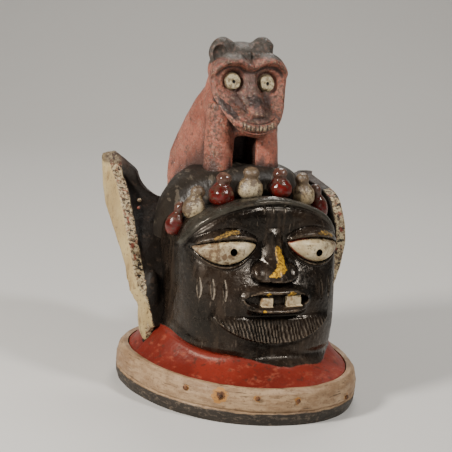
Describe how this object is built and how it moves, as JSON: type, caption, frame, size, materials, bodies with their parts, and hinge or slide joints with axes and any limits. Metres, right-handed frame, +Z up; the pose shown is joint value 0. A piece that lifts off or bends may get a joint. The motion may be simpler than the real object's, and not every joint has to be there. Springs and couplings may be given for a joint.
{
  "type": "gelede mask",
  "caption": "Carved wooden gelede mask: hollow helmet head with cupped ears, a row of knobs over the brow, a crouching animal on top, and a hoop nailed round its foot.",
  "frame": {"origin": "centre of the bounding box in plan, on the plane the rim stands on", "axes": "+Z up, the face looks along -Y, +X towards the mask's own left"},
  "size_m": [0.241, 0.272, 0.358],
  "materials": {
    "dark_paint": "carved wood with worn glossy black, red, cream and pink paint",
    "cream_paint": "wood with worn cream paint above and black paint below",
    "iron": "rusted iron"
  },
  "bodies": {
    "root": {"mask": "dark_paint", "rim_hoop": "cream_paint", "nail_1": "iron", "nail_2": "iron", "nail_3": "iron", "nail_4": "iron", "nail_5": "iron", "nail_6": "iron", "nail_7": "iron", "nail_8": "iron"}
  },
  "joints": []
}
